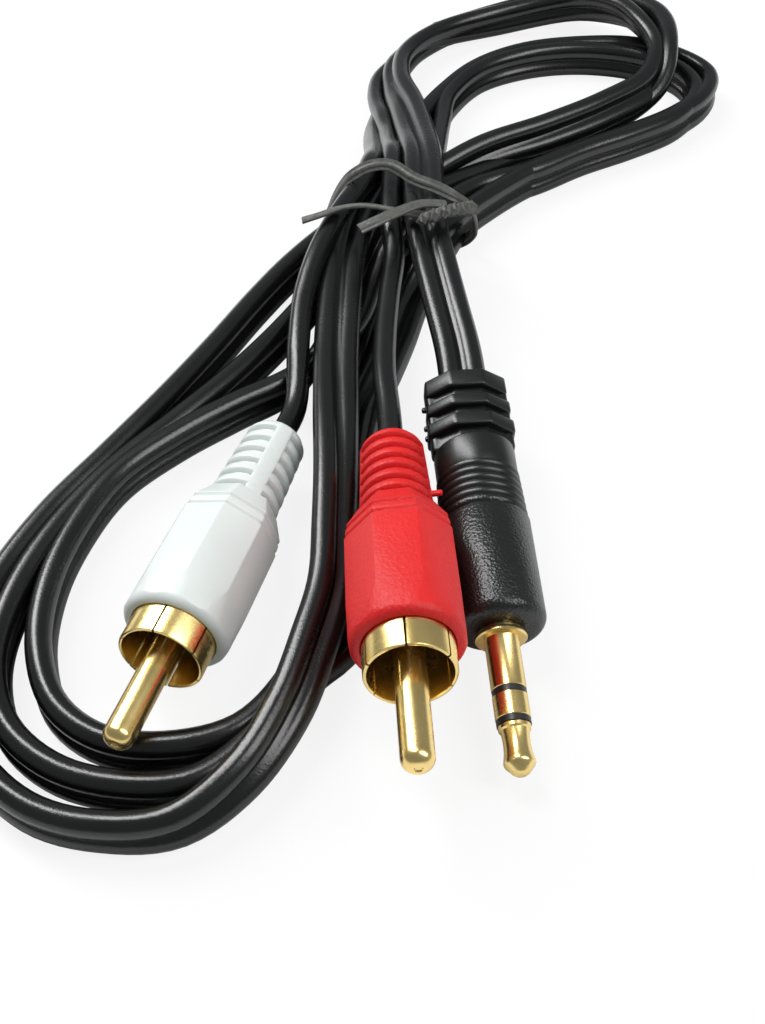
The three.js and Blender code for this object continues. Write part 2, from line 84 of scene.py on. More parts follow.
# %% [markdown]
# The plugs lie loose on and beside the cable, each turned and tipped a little. A plug's place is
# the middle of its front face, its turn about the upright, how far its nose is up, and its roll.
# The leads begin a little inside the rear of their plugs and leave them straight, so a small
# function finds points on a plug's axis.

# %% Where the plugs lie
RED_PLUG = ((2.4, 66.5, 12.3), 2.8, 6, 6)
WHITE_PLUG = ((-20.5, 71.8, 7.1), -17, 3, 63)
JACK_PLUG = ((11.8, 73.6, 4.95), 4.5, -6.5, 0)
PHONO_LENGTH = 29.3
JACK_LENGTH = 31.4
TWIN_SUNK = 0.2
LEAD_SUNK = 1.2
STRAIGHT = 6


def behind(plug, distance):
    (x, y, z), turn, nose, _ = plug
    turn, nose = math.radians(turn), math.radians(nose)
    level = distance * math.cos(nose)
    return (x - level * math.sin(turn), y + level * math.cos(turn), z - distance * math.sin(nose))


print("rear of the jack:", [round(value, 1) for value in behind(JACK_PLUG, JACK_LENGTH)])

# %% [markdown]
# The cable is one fixed length of twin flex: two round cores side by side with a thin web
# between them. It is limp, so it lies where it was put. Its route starts behind the jack, runs
# under the tie, and goes round the far loop and the near loop in turn, four and three times. It
# ends at the far loop's far side. Each row is a point of its middle and its roll in degrees:
# 0 lies flat, 90 stands on edge. Turns of one bundle follow nearly one line in places, and
# their skins run into each other there.

# %% Route of the twin cable
FROM_JACK = (
    (*behind(JACK_PLUG, JACK_LENGTH - TWIN_SUNK), 0), (*behind(JACK_PLUG, JACK_LENGTH + STRAIGHT), 0),
    (7.7, 118, 10, 0), (6.6, 125, 10.6, 0), (5.6, 132.5, 11, 0),
    (5.4, 140, 11.1, 0), (5.4, 149, 10.5, 0),
)
FAR_LOOP_1 = (
    (4.7, 158, 8.6, 15), (3.6, 167.5, 6.8, 30), (2.2, 177, 5, 58), (2.9, 186.5, 4, 50),
    (8.8, 194.6, 3.4, 60), (20, 200, 3.4, 80), (31.2, 201.1, 5.2, 80), (37.8, 195.6, 7.6, 60),
    (41.0, 188.6, 8.4, 55), (43.1, 181.2, 7.6, 50), (40.4, 174.3, 6.4, 55), (33, 168.1, 5.9, 60),
    (23.9, 162.6, 5.5, 65), (14.6, 157.8, 5.2, 75), (5.8, 151.8, 4, 90), (-0.4, 146.6, 3.6, 90),
)
NEAR_LOOP_1 = (
    (-6.4, 140.6, 3.5, 90), (-11.9, 133.6, 3.1, 90), (-16.2, 126.5, 2.82, 90), (-20.5, 118, 2.82, 90),
    (-25.6, 108.6, 2.82, 90), (-31.2, 99.1, 2.82, 90), (-36.8, 89.6, 2.82, 90), (-40.6, 79.7, 2.82, 90),
    (-41.6, 69.2, 2.82, 90), (-38.6, 60.6, 2.82, 90), (-32.6, 55, 2.82, 90), (-25.9, 53.06, 2.82, 90),
    (-18.7, 53.5, 3.2, 97), (-12.9, 57.7, 4.6, 112), (-8.9, 64.5, 5.6, 130), (-6.7, 71.6, 6.3, 135),
    (-5.3, 78, 6.6, 135), (-5.1, 86, 7, 137), (-5.1, 94, 7.4, 142), (-5.3, 103, 7.6, 158),
    (-5.5, 113, 7.4, 172), (-5.3, 122, 7.7, 180), (-4.8, 131, 8, 180), (-3.2, 140, 7.8, 180),
    (0.8, 149, 7.3, 180),
)
FAR_LOOP_2 = (
    (4.4, 157, 5.4, 168), (6, 166.6, 3.4, 130), (9.2, 175.3, 2.82, 95), (15.1, 183.4, 2.82, 90),
    (23, 188.3, 2.82, 90), (32.3, 190.2, 2.82, 90), (40.7, 189.9, 2.82, 90), (47.2, 186.5, 2.82, 90),
    (51, 181.2, 2.82, 90), (49.6, 175.6, 2.82, 90), (44.1, 169.7, 2.82, 90), (37, 164.9, 2.82, 90),
    (29.1, 160.2, 2.82, 90), (21.6, 155.2, 2.82, 90), (15.2, 149, 3.1, 90), (10.2, 142.6, 3.5, 85),
)
NEAR_LOOP_2 = (
    (6.6, 136, 2.9, 50), (3.6, 129, 1.7, 5), (1.6, 121, 2, 0), (-0.4, 113, 3.4, 0), (-2.6, 105.5, 4.5, 0),
    (-3.9, 99, 4.3, 0), (-4.9, 93, 3, 0), (-5.1, 87, 1.7, 0), (-5.1, 79.8, 1.8, 10), (-7.1, 73.7, 2.9, 70),
    (-9.6, 68, 2.82, 90), (-13.7, 63.1, 2.82, 90), (-19.8, 61.2, 2.82, 90), (-26.3, 61.8, 2.82, 90),
    (-31.5, 65.5, 2.82, 90), (-34.4, 72.3, 2.82, 90), (-34.8, 80.2, 2.82, 90), (-33.2, 88, 2.82, 90),
    (-29.8, 95.8, 2.82, 90), (-23.8, 102.2, 2.82, 90), (-17.5, 107.2, 2.82, 90), (-11.3, 111.6, 2.9, 80),
    (-7, 116.8, 3.8, 40), (-4, 122.5, 4.5, 5), (-2.4, 129, 5, 0), (-0.2, 135.5, 6.6, 0),
    (2.9, 142, 7.7, 0), (5.2, 149.5, 7.1, 0),
)
FAR_LOOP_3 = (
    (6.8, 158, 5.2, 40), (8.4, 167.1, 3.4, 70), (10.2, 175.1, 2.82, 90), (15.2, 182.6, 2.82, 90),
    (22.9, 187, 2.82, 90), (31.4, 188.5, 2.82, 90), (39.7, 187.1, 2.82, 90), (45.9, 183.4, 2.82, 90),
    (48.4, 178.2, 2.82, 90), (47.3, 173.5, 2.82, 90), (43.6, 168.7, 2.82, 90), (37, 164.3, 2.82, 90),
    (29, 159.9, 2.82, 90), (21.5, 154.9, 2.82, 90), (13.4, 151, 3.1, 90), (7.6, 144.9, 3.5, 90),
)
NEAR_LOOP_3 = (
    (2.8, 138.6, 3.3, 75), (-0.8, 132.2, 2.1, 30), (-3, 125.5, 1.6, 0), (-4.3, 117.5, 1.5, 0),
    (-4.6, 109, 1.5, 0), (-3.4, 102, 1.5, 0), (-1.2, 95.5, 1.5, 0), (0.4, 89, 1.5, 0), (0.1, 82.5, 1.5, 0),
    (-3.3, 75.9, 2.2, 15), (-7.8, 69.3, 2.82, 90), (-12.3, 61.9, 2.82, 90), (-17.2, 57.7, 2.82, 90),
    (-23.2, 57, 2.82, 90), (-30.3, 58.7, 2.82, 90), (-35.8, 63.2, 2.82, 90), (-38.6, 70.2, 2.82, 90),
    (-38.2, 78.8, 2.82, 90), (-35.3, 87.8, 2.82, 90), (-30.5, 96.4, 2.82, 90), (-24.3, 104.1, 2.82, 90),
    (-18.1, 112.1, 2.82, 90), (-12.9, 120.1, 2.82, 90), (-8.6, 128.1, 2.9, 90), (-4.8, 136.6, 3.3, 90),
    (0.6, 143, 3.5, 90),
)
FAR_LOOP_4 = (
    (6.2, 148.8, 3.2, 90), (12.6, 155.3, 2.6, 60), (20.4, 162, 2.2, 30), (28.2, 167, 2.2, 20),
    (36, 171.1, 3, 25), (41.8, 175.6, 5, 50), (43.9, 182, 7.8, 75), (43.9, 189.6, 8, 80),
    (40.6, 196.9, 6.6, 70), (34.2, 203.6, 4.2, 50),
    (25.5, 206, 2.2, 10), (16.5, 202.9, 1.5, 0), (9.8, 198.6, 1.5, 0),
)
TWIN_ROUTE = (FROM_JACK + FAR_LOOP_1 + NEAR_LOOP_1 + FAR_LOOP_2 + NEAR_LOOP_2
              + FAR_LOOP_3 + NEAR_LOOP_3 + FAR_LOOP_4)
WHITE_ROUTE = (
    (11.5, 198, 1.5), (10.5, 197.4, 1.5), (5.2, 191.5, 1.45), (2.2, 184, 1.45), (0.4, 177, 1.45),
    (-0.6, 172.5, 1.6), (-1.4, 166.4, 2.8), (-1.4, 159.4, 5.4), (-1.2, 152.6, 8.2),
    (-1.6, 148.4, 9.9), (-2.8, 143, 10.4), (-5.6, 136, 10.5), (-8.1, 129, 9.7), (-9.7, 122, 8.3),
    (-10.1, 114.5, 7.2), behind(WHITE_PLUG, PHONO_LENGTH + STRAIGHT),
    behind(WHITE_PLUG, PHONO_LENGTH - LEAD_SUNK),
)
RED_ROUTE = (
    (10.1, 200.4, 1.5), (9.1, 199.7, 1.5), (5.2, 194.2, 1.5), (2.1, 188.8, 1.5), (-0.4, 184, 1.6),
    (-1.0, 178.6, 2.1), (-0.6, 173.4, 3.0), (0.1, 168.8, 4.1), (0.7, 163.5, 5.1),
    (0.9, 157.5, 6.9), (1.3, 150.5, 9.7), (1.2, 143.5, 10.3), (1.0, 136, 10.0), (1.5, 129.5, 9.0),
    (0.8, 122, 8.4), (0.3, 114.5, 8.3), (0.2, 108, 8.4), behind(RED_PLUG, PHONO_LENGTH + STRAIGHT),
    behind(RED_PLUG, PHONO_LENGTH - LEAD_SUNK),
)
print("route points:", len(TWIN_ROUTE), "twin,", len(WHITE_ROUTE), "white,", len(RED_ROUTE), "red")

# %% [markdown]
# A hand laying the cable down makes smooth curves, so the points are joined by a spline. The
# spline's spacing follows the distance between the points, which keeps close points from
# looping. The rows come out evenly spaced, roll included, about 1.2 mm apart on the cables.

# %% Spline through route rows
CABLE_STEP = 1.2
LEAST_GAP = 1e-3


def spline_rows(rows, fine=10, step=CABLE_STEP):
    rows = [Vector((*row, 0)[:4]) for row in rows]
    rows = [2 * rows[0] - rows[1], *rows, 2 * rows[-1] - rows[-2]]
    line = []
    for before, start, stop, after in zip(rows, rows[1:], rows[2:], rows[3:]):
        pairs = (before, start), (start, stop), (stop, after)
        gaps = [max((b.xyz - a.xyz).length ** 0.5, LEAST_GAP) for a, b in pairs]
        leave = (start - before) / gaps[0] - (stop - before) / (gaps[0] + gaps[1]) + (stop - start) / gaps[1]
        arrive = (stop - start) / gaps[1] - (after - start) / (gaps[1] + gaps[2]) + (after - stop) / gaps[2]
        leave, arrive = leave * gaps[1], arrive * gaps[1]
        for i in range(fine):
            t = i / fine
            line.append(start + leave * t + (3 * (stop - start) - 2 * leave - arrive) * t ** 2
                        + (2 * (start - stop) + leave + arrive) * t ** 3)
    line.append(rows[-2])
    return even_rows(line, step)


def even_rows(line, step):
    total = line_length(line)
    count = round(total / step)
    rows, walked, due = [line[0]], 0.0, total / count
    for a, b in zip(line, line[1:]):
        length = (b.xyz - a.xyz).length
        while walked + length >= due and len(rows) < count:
            rows.append(a.lerp(b, (due - walked) / length))
            due += total / count
        walked += length
    rows.append(line[-1])
    return rows


def line_length(rows):
    return sum((b.xyz - a.xyz).length for a, b in zip(rows, rows[1:]))


twin_rows = spline_rows(TWIN_ROUTE)
print("twin cable", round(line_length(twin_rows)), "mm in", len(twin_rows), "rows")

# %% [markdown]
# Extruded cable has one section all along. The section is swept along the rows: at each row its
# wide direction is level across the cable, turned by the roll. One closed skin with two end
# caps is what the extruder makes too, and it keeps the groove between the cores crisp.

# %% Sweep a section along rows
def deselect_all():
    bpy.ops.object.select_all(action='DESELECT')


def only(piece):
    deselect_all()
    piece.select_set(True)
    bpy.context.view_layer.objects.active = piece


def add_piece(name, points, edges, faces):
    mesh = bpy.data.meshes.new(name)
    mesh.from_pydata(points, edges, faces)
    piece = bpy.data.objects.new(name, mesh)
    bpy.context.collection.objects.link(piece)
    only(piece)
    return piece


def directions(rows):
    made = []
    for i, row in enumerate(rows):
        along = (rows[min(i + 1, len(rows) - 1)].xyz - rows[max(i - 1, 0)].xyz).normalized()
        side = along.cross(Vector((0, 0, 1))).normalized()
        up = side.cross(along)
        roll = math.radians(row.w)
        wide = side * math.cos(roll) + up * math.sin(roll)
        thick = up * math.cos(roll) - side * math.sin(roll)
        made.append((wide, thick))
    return made


def sweep(name, rows, section):
    points = []
    for row, (wide, thick) in zip(rows, directions(rows)):
        points += [bench(*(row.xyz + wide * x + thick * y)) for x, y in section]
    size = len(section)
    faces = []
    for ring in range(len(rows) - 1):
        for k in range(size):
            a, b = ring * size + k, ring * size + (k + 1) % size
            faces.append((a, b, b + size, a + size))
    faces.append(tuple(range(size)))
    faces.append(tuple(range(len(points) - 1, len(points) - 1 - size, -1)))
    piece = add_piece(name, points, [], faces)
    edit(piece, face_out)
    for face in piece.data.polygons:
        face.use_smooth = len(face.vertices) == 4
    return piece


def edit(piece, *steps):
    only(piece)
    bpy.ops.object.mode_set(mode='EDIT')
    bpy.ops.mesh.select_all(action='SELECT')
    for step in steps:
        step()
    bpy.ops.object.mode_set(mode='OBJECT')


def face_out():
    bpy.ops.mesh.normals_make_consistent(inside=False)


print("sweep ready")

# %% [markdown]
# Each core is 2.75 mm across. Where the two touch, the extruder leaves a web 1.1 mm thick, so the
# outline is two circles that stop short of each other. The skin keeps its true size. It replaces
# the plain hank and the plain jack lead.

# %% Twin cable
CORE = 2.75
WEB = 1.1


def twin_section(steps=13):
    radius = CORE / 2
    stop = math.pi - math.asin(WEB / 2 / radius)
    half = [(radius + radius * math.cos(a), radius * math.sin(a))
            for a in (stop * (2 * i / (steps - 1) - 1) for i in range(steps))]
    return half + [(-x, -y) for x, y in half]


def path_of(rows):
    return [tuple(bench(*row.xyz)) for row in rows]


twin_cable = sweep("twin_cable", twin_rows, twin_section())
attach(twin_cable, "root")
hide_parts("cable_hank", "jack_lead")
print("twin cable", len(twin_cable.data.polygons), "faces")

# %% [markdown]
# At the far loop's far side the web is slit and each core goes on alone, one to each phono plug.
# They come down the loop's left side, the red one crossing over the white one, and pass under
# the tie beside each other.

# %% Single leads
def lead_section(sides=20):
    turns = [2 * math.pi * i / sides for i in range(sides)]
    return [(CORE / 2 * math.cos(a), CORE / 2 * math.sin(a)) for a in turns]


def single_lead(name, route, node):
    rows = spline_rows(route)
    lead = sweep(name, rows, lead_section())
    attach(lead, "root")
    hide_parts(node)
    print(name, round(line_length(rows), 1), "mm")
    return lead, rows


white_lead, white_rows = single_lead("white_core", WHITE_ROUTE, "white_lead")
red_lead, red_rows = single_lead("red_core", RED_ROUTE, "red_lead")

# %% [markdown]
# A plug is modelled upright at the origin, axis up the Z axis and the front of its moulding at
# z = 0, then laid down in its place. The place goes into the mesh, so every piece stays at the
# origin.

# %% Lay a plug down
def pose(at, turn, nose, roll):
    laid = Matrix.Translation(bench(*at))
    laid = laid @ Matrix.Rotation(math.radians(180 + turn), 4, 'Z')
    laid = laid @ Matrix.Rotation(math.radians(nose), 4, 'X')
    laid = laid @ Matrix.Rotation(math.radians(roll), 4, 'Y')
    return laid @ Matrix.Rotation(math.radians(-90), 4, 'X')


RED_POSE = pose(*RED_PLUG)
WHITE_POSE = pose(*WHITE_PLUG)
JACK_POSE = pose(*JACK_PLUG)


def lay_down(piece, laid, node):
    piece.data.transform(laid)
    piece.data.update()
    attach(piece, "root")
    if node:
        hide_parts(node)
    print(piece.name, len(piece.data.polygons), "faces")
    return piece


print("three poses")

# %% [markdown]
# Turned metal and round mouldings start as half an outline and are spun once round. The seam is
# merged and the normals are set facing out. Ends of the outline sit on the axis, or the outline
# closes on itself as a tube's does.

# %% Spin an outline
MERGE_WITHIN = 1e-6


def merge_and_face_out():
    bpy.ops.mesh.select_all(action='SELECT')
    bpy.ops.mesh.remove_doubles(threshold=MERGE_WITHIN)
    face_out()


def spun(name, outline, steps=64, closed=False):
    points = [(r * MM, 0, z * MM) for r, z in outline]
    edges = [(i, i + 1) for i in range(len(points) - 1)]
    if closed:
        edges.append((len(points) - 1, 0))
    piece = add_piece(name, points, edges, [])
    edit(piece, lambda: bpy.ops.mesh.spin(steps=steps, angle=2 * math.pi, center=(0, 0, 0), axis=(0, 0, 1)),
         merge_and_face_out)
    smooth(piece)
    return piece


def smooth(piece, angle=32):
    only(piece)
    bpy.ops.object.shade_smooth_by_angle(angle=math.radians(angle))


def finish_with(piece, kind, **settings):
    only(piece)
    modifier = piece.modifiers.new(kind.lower(), kind)
    for key, value in settings.items():
        setattr(modifier, key, value)
    bpy.ops.object.modifier_apply(modifier=modifier.name)
    return piece


def combine(piece, other, operation):
    finish_with(piece, 'BOOLEAN', object=other, operation=operation, solver='EXACT')
    bpy.data.objects.remove(other, do_unlink=True)
    return piece


def arc(centre, radius, start, stop, steps=5):
    angles = [math.radians(start + (stop - start) * i / steps) for i in range(steps + 1)]
    return [(centre[0] + radius * math.cos(a), centre[1] + radius * math.sin(a)) for a in angles]


print("spin ready")

# %% [markdown]
# The phono plug's grip is an octagon with a shallow collar of two thin grooves at its rear and a
# taper down to the strain relief. It is pulled up section by section from an eight-sided ring.
# Its front was rounded by a turned cavity, so a turned envelope is intersected with it, which
# leaves the small arcs where the flats run out.

# %% Phono plug sizes
GRIP = 15.2
TAPER = 2.7
RELIEF = 11.4
ACROSS = 11.0
SHELL = 8.8
WALL = 0.4
EDGE_ROUND = 0.14
EDGE_ANGLE = 22
LIP_ROUND = 1.05
LIP_MIDDLE = 4.58


def across(width):
    return width / 2 / math.cos(math.pi / 8)


def octagon_loft(name, stations):
    deselect_all()
    first, width = stations[0]
    bpy.ops.mesh.primitive_circle_add(vertices=8, radius=across(width) * MM, fill_type='NGON',
                                      location=(0, 0, first * MM), rotation=(0, 0, math.pi / 8))
    piece = bpy.context.object
    piece.name = piece.data.name = name
    bpy.ops.object.transform_apply(location=True, rotation=True, scale=True)
    bpy.ops.object.mode_set(mode='EDIT')
    bpy.ops.mesh.select_all(action='SELECT')
    for (low, before), (high, after) in zip(stations, stations[1:]):
        bpy.ops.mesh.extrude_region_move(TRANSFORM_OT_translate={"value": (0, 0, (high - low) * MM)})
        if after != before:
            bpy.ops.transform.resize(value=(after / before, after / before, 1),
                                     center_override=(0, 0, high * MM))
    merge_and_face_out()
    bpy.ops.object.mode_set(mode='OBJECT')
    return piece


GRIP_STATIONS = (
    (-GRIP - TAPER, 7.7), (-GRIP - 0.2, 10.0), (-GRIP + 0.1, 10.35), (-GRIP + 0.4, 9.7),
    (-GRIP + 0.7, 10.4), (-GRIP + 1.4, 10.55), (-GRIP + 1.7, 9.95), (-GRIP + 2.0, 10.75), (0, ACROSS),
)


def phono_grip(name):
    grip = octagon_loft(name, GRIP_STATIONS)
    finish_with(grip, 'BEVEL', width=EDGE_ROUND * MM, segments=2, limit_method='ANGLE',
                angle_limit=math.radians(EDGE_ANGLE), harden_normals=False)
    lip = arc((LIP_MIDDLE, -LIP_ROUND), LIP_ROUND, 0, 90, 8)
    envelope = spun("envelope", [
        (0, -20), (6.6, -20), (6.6, -7.4), (5.9, -4.4), (5.68, -2.6), *lip, (0, 0)], steps=72)
    return combine(grip, envelope, 'INTERSECT')


print("grip sizes set")

# %% [markdown]
# The strain relief bends because it is cut nearly through by soft grooves, six ribs in all. Two
# smooth spines run along its parting line and tie the ribs together. The ribs are spun from
# one outline, the spines are rounded bars that lean with the ribs, and the relief is made one
# body with the grip. The red one is a little shorter and has a small nub of flash on its side.

# %% Phono plug moulding
RIBS = 6
RELIEF_REAR = 3.45
RELIEF_FRONT = 3.88
RED_SHORTER = 0.8
SPINE = (1.4, 2.0)
SPINE_OUT = 2.95
SPINE_LEAN = (0.2, -0.22)
SPINE_ROUND = 0.35
NUB = (1.8, 0.6, 0.6)
NUB_ROUND = 0.2
SEAT_FLOOR = -6.05


def relief_outline(end, top, rear_radius, front_radius):
    pitch = (top - end) / RIBS
    outline = [(0, end), (rear_radius - 0.45, end)]
    for i in range(RIBS):
        low = end + i * pitch
        radius = rear_radius + (front_radius - rear_radius) * i / (RIBS - 1)
        start = 0.25 if i == 0 else 0.08
        outline += [(radius - 0.18, low + start * pitch), (radius - 0.03, low + (start + 0.12) * pitch),
                    (radius, low + 0.42 * pitch), (radius - 0.03, low + 0.6 * pitch),
                    (radius - 0.2, low + 0.7 * pitch), (radius - 0.55, low + 0.76 * pitch),
                    (radius - 0.62, low + 0.88 * pitch), (radius - 0.55, low + 0.98 * pitch)]
    return outline + [(front_radius - 0.3, top + 0.6), (0, top + 0.6)]


def bar(name, size, at, rounding):
    deselect_all()
    bpy.ops.mesh.primitive_cube_add(size=1, location=[value * MM for value in at])
    piece = bpy.context.object
    piece.name = piece.data.name = name
    piece.scale = [value * MM for value in size]
    bpy.ops.object.transform_apply(location=True, rotation=True, scale=True)
    finish_with(piece, 'BEVEL', width=rounding * MM, segments=3)
    return piece


def phono_moulding(name, relief_length, nub=False):
    moulding = phono_grip(name)
    top = -GRIP - TAPER
    end = top - relief_length
    relief = spun("relief", relief_outline(end, top, RELIEF_REAR, RELIEF_FRONT), steps=56)
    for side in (-1, 1):
        middle = (end + top) / 2
        at = (side * SPINE_OUT, 0, middle + 0.35)
        spine = bar("spine", (*SPINE, relief_length + 0.1), at, SPINE_ROUND)
        for point in spine.data.vertices:
            point.co.x += side * SPINE_LEAN[0 if point.co.z > middle * MM else 1] * MM
        combine(relief, spine, 'UNION')
    if nub:
        combine(relief, bar("nub", NUB, (-4.0, -0.5, top - 2.2), NUB_ROUND), 'UNION')
    combine(moulding, relief, 'UNION')
    bore = SHELL / 2 + 0.05
    seat = spun("seat", [
        (0, SEAT_FLOOR), (bore, SEAT_FLOOR), (bore, -0.2), (bore + 0.15, 0.05), (bore + 0.15, 1), (0, 1)],
        steps=72)
    combine(moulding, seat, 'DIFFERENCE')
    smooth(moulding, 35)
    return moulding


red_body = phono_moulding("red_plug_body", RELIEF - RED_SHORTER, nub=True)
lay_down(red_body, RED_POSE, "red_plug_moulding")

white_body = phono_moulding("white_plug_body", RELIEF)
lay_down(white_body, WHITE_POSE, "white_plug_moulding")

# %% [markdown]
# A phono plug's shell is a thin gold-plated ring, slit six times so that it springs over the
# socket. It is spun as a tube with a rolled rim, and three thin blades cut the slits, two at a
# time. The pin is solid, with a rounded nose that keeps the mark of its turning centre.

# %% Phono shells and pins
SLITS = 6
SLIT = 0.22
SLIT_FLOOR = -1.7
BLADE = 7
PIN = 3.1
PIN_NOSE = 1.15
PIN_ROOT = -8.9
SHELL_ROOT = -5.9
SHELL_REACH = 3.2
PIN_REACH = 13.4


def phono_shell(name):
    outer, inner = SHELL / 2, SHELL / 2 - WALL
    shell = spun(name, [
        (inner, SHELL_ROOT), (outer, SHELL_ROOT), (outer, SHELL_REACH - 0.2),
        (outer - 0.06, SHELL_REACH - 0.06), (outer - 0.2, SHELL_REACH),
        (inner + 0.06, SHELL_REACH - 0.06), (inner, SHELL_REACH - 0.2)], steps=96, closed=True)
    for i in range(SLITS // 2):
        blade = bar("blade", (SLIT, SHELL + 2, BLADE), (0, 0, SLIT_FLOOR + BLADE / 2), 0.01)
        blade.data.transform(Matrix.Rotation(math.pi * (i / (SLITS // 2)), 4, 'Z'))
        combine(shell, blade, 'DIFFERENCE')
    smooth(shell, 40)
    return shell


def phono_pin(name):
    radius = PIN / 2
    nose = arc((radius - PIN_NOSE, PIN_REACH - PIN_NOSE), PIN_NOSE, 0, 82, 7)
    dimple = [(0.42, PIN_REACH - 0.02), (0.3, PIN_REACH - 0.16), (0, PIN_REACH - 0.2)]
    return spun(name, [(0, PIN_ROOT), (radius, PIN_ROOT), *nose, *dimple], steps=64)


def phono_insulator(name):
    outer, inner = SHELL / 2 - WALL - 0.05, PIN / 2 + 0.05
    return spun(name, [
        (inner, -5.8), (outer, -5.8), (outer, -3.15), (outer - 0.15, -3), (inner + 0.5, -3),
        (inner + 0.4, -2.7), (inner, -2.7)], steps=64, closed=True)


for colour, laid in (("red", RED_POSE), ("white", WHITE_POSE)):
    lay_down(phono_shell(f"{colour}_slotted_shell"), laid, f"{colour}_plug_shell")
    lay_down(phono_pin(f"{colour}_centre_pin"), laid, f"{colour}_plug_pin")
    lay_down(phono_insulator(f"{colour}_pin_holder"), laid, f"{colour}_plug_insulator")

# %% [markdown]
# The jack's barrel is turned-looking but moulded: a leathery barrel with a rounded front, a band
# of fine ridges to hold it by, and a plain neck. Everything up to the neck is spun from one
# outline.

# %% Jack barrel
BARREL = 4.85
BARREL_LENGTH = 13.0
RIDGES = 6
RIDGE_BAND = 5.8
NECK = 3.6


def barrel_outline():
    rear = -BARREL_LENGTH - RIDGE_BAND
    outline = [(0, rear - NECK), (BARREL - 0.75, rear - NECK), (BARREL - 0.45, rear - NECK + 0.3),
               (BARREL - 0.38, rear - NECK + 0.8), (BARREL - 0.4, rear - 0.6), (BARREL - 0.5, rear)]
    pitch = RIDGE_BAND / RIDGES
    for i in range(RIDGES):
        low = rear + i * pitch
        rise = 0.22 * (1 - i / RIDGES)
        outline += [(BARREL - 0.3 - rise, low + 0.1 * pitch), (BARREL - 0.1 - rise, low + 0.3 * pitch),
                    (BARREL - 0.08 - rise, low + 0.55 * pitch), (BARREL - 0.16 - rise, low + 0.78 * pitch),
                    (BARREL - 0.3 - rise, low + 0.95 * pitch)]
    front = arc((BARREL - 1.3, -1.3), 1.3, 0, 88, 8)
    return outline + [(BARREL, -BARREL_LENGTH + 0.5), *front, (0, 0)]


jack_body = spun("jack_body", barrel_outline(), steps=96)
print("barrel", len(jack_body.data.polygons), "faces")

# %% [markdown]
# Behind the neck the twin cable's strain relief is a stack of three flat plates on a narrower
# core, with a smooth spine on each side and nubs of flash on the left one. A plate is an
# eight-sided disc, widened to suit the flat cable and given soft edges.

# %% Jack strain relief
JACK_RELIEF = 9.7
OVAL_WIDE = 9.7
OVAL_HIGH = 6.8
RELIEF_CORE = (7.6, 5.0)
PLATE_ROUND = 0.28
JACK_SPINE = (2.0, 2.4)
JACK_NUB = (0.7, 0.6, 0.6)
SHAFT_BORE = 2.25
SHAFT_SEAT = -6.1


def oval_plate(name, wide, high, low, top, rounding, corners=8):
    deselect_all()
    bpy.ops.mesh.primitive_cylinder_add(vertices=corners, radius=0.5 / math.cos(math.pi / corners) * MM,
                                        depth=(top - low) * MM, location=(0, 0, (low + top) / 2 * MM),
                                        rotation=(0, 0, math.pi / corners))
    plate = bpy.context.object
    plate.name = plate.data.name = name
    bpy.ops.object.transform_apply(location=True, rotation=True, scale=True)
    plate.scale = (wide, high, 1)
    bpy.ops.object.transform_apply(location=False, rotation=False, scale=True)
    finish_with(plate, 'BEVEL', width=rounding * MM, segments=3, limit_method='ANGLE')
    return plate


jack_rear = -BARREL_LENGTH - RIDGE_BAND - NECK
jack_end = jack_rear - JACK_RELIEF
combine(jack_body, oval_plate("relief_core", *RELIEF_CORE, jack_end + 0.3, jack_rear + 0.5, 0.2), 'UNION')
PLATES = ((0, 2.3, 0.5), (3.5, 5.0, 0.3), (6.2, 7.9, 0.05))
NUB_HEIGHTS = (2.9, 5.6, 7.0)
for start, stop, shrink in PLATES:
    plate = oval_plate("plate", OVAL_WIDE - shrink, OVAL_HIGH - shrink / 2, jack_end + start,
                       jack_end + stop, PLATE_ROUND)
    combine(jack_body, plate, 'UNION')
for side in (-1, 1):
    at = (side * (OVAL_WIDE / 2 - 1.25), 0, jack_end + JACK_RELIEF / 2 + 0.3)
    spine = bar("spine", (*JACK_SPINE, JACK_RELIEF - 0.2), at, 0.5)
    combine(jack_body, spine, 'UNION')
for height in NUB_HEIGHTS:
    nub = bar("nub", JACK_NUB, (OVAL_WIDE / 2 - 0.1, 0.3, jack_end + height), NUB_ROUND)
    combine(jack_body, nub, 'UNION')
seat = spun("shaft_seat", [(0, SHAFT_SEAT), (SHAFT_BORE, SHAFT_SEAT), (SHAFT_BORE, 1), (0, 1)], steps=48)
combine(jack_body, seat, 'DIFFERENCE')
smooth(jack_body, 35)
lay_down(jack_body, JACK_POSE, "jack_moulding")

# %% [markdown]
# The jack's shaft is a stack of turned contacts kept apart by dark bands: sleeve with a flange,
# ring, and the tip with its waist and pointed nose. Each is its own turned piece, as on the
# real one, and the tip's rod runs back through the others.

# %% Jack contacts
SHAFT = 1.75
FLANGE = 2.65
FLANGE_FRONT = 1.0
SEAT = 1.3
BAND = 0.66
SHAFT_LENGTH = 14
SLEEVE_BORE = 1.3
ROD_BORE = 0.6
EASE = 0.03
sleeve_front = SEAT + 5.22
ring_rear = sleeve_front + BAND
ring_front = SEAT + 8.32
tip_start = ring_front + BAND
tip_end = SEAT + SHAFT_LENGTH

sleeve = spun("jack_sleeve_contact", [
    (SLEEVE_BORE, -6), (2.2, -6), (2.2, 0.1), (2.35, 0.15), (2.35, 0.4), (2.2, 0.45), (2.2, 0.5),
    (FLANGE - 0.05, 0.52), (FLANGE, 0.6), (FLANGE, FLANGE_FRONT - 0.15), (FLANGE - 0.15, FLANGE_FRONT),
    (SHAFT + 0.05, FLANGE_FRONT), (SHAFT, FLANGE_FRONT + 0.08), (SHAFT, sleeve_front - 0.05),
    (SHAFT - 0.06, sleeve_front), (SLEEVE_BORE, sleeve_front)], closed=True)


